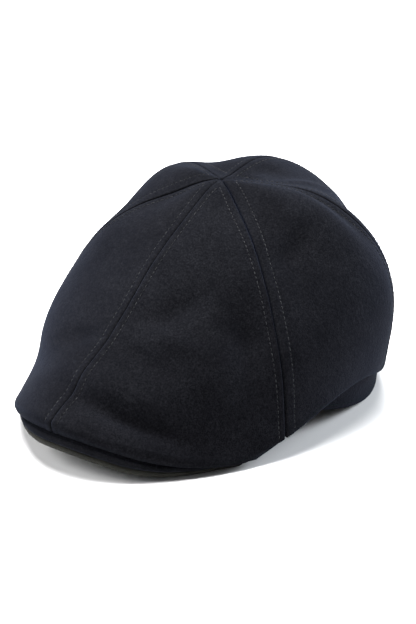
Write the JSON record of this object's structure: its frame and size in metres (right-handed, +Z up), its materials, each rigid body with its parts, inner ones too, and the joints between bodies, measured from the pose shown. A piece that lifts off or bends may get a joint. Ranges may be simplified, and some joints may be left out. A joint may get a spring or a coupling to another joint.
{
  "type": "duckbill cap",
  "caption": "Soft duckbill cap of thick dark wool: a gored crown that falls forward onto a short bowed peak, an upright headband at the back and an open hollow for the head.",
  "frame": {"origin": "on the floor under the middle of the whole cap", "axes": "-Y toward the edge of the peak, +X toward the wearer's left, +Z up; the cap rests as it would on a table"},
  "size_m": [0.2056, 0.2732, 0.1431],
  "materials": {
    "wool_cloth": "brushed melton wool, dark navy",
    "peak_facing": "smooth woven facing, dark olive grey"
  },
  "bodies": {
    "root": {"crown_panel_front_left": "wool_cloth", "crown_panel_side_left": "wool_cloth", "crown_panel_back_left": "wool_cloth", "crown_panel_back_right": "wool_cloth", "crown_panel_side_right": "wool_cloth", "crown_panel_front_right": "wool_cloth", "headband": "wool_cloth", "peak": "wool_cloth", "under_peak": "peak_facing"}
  },
  "joints": []
}
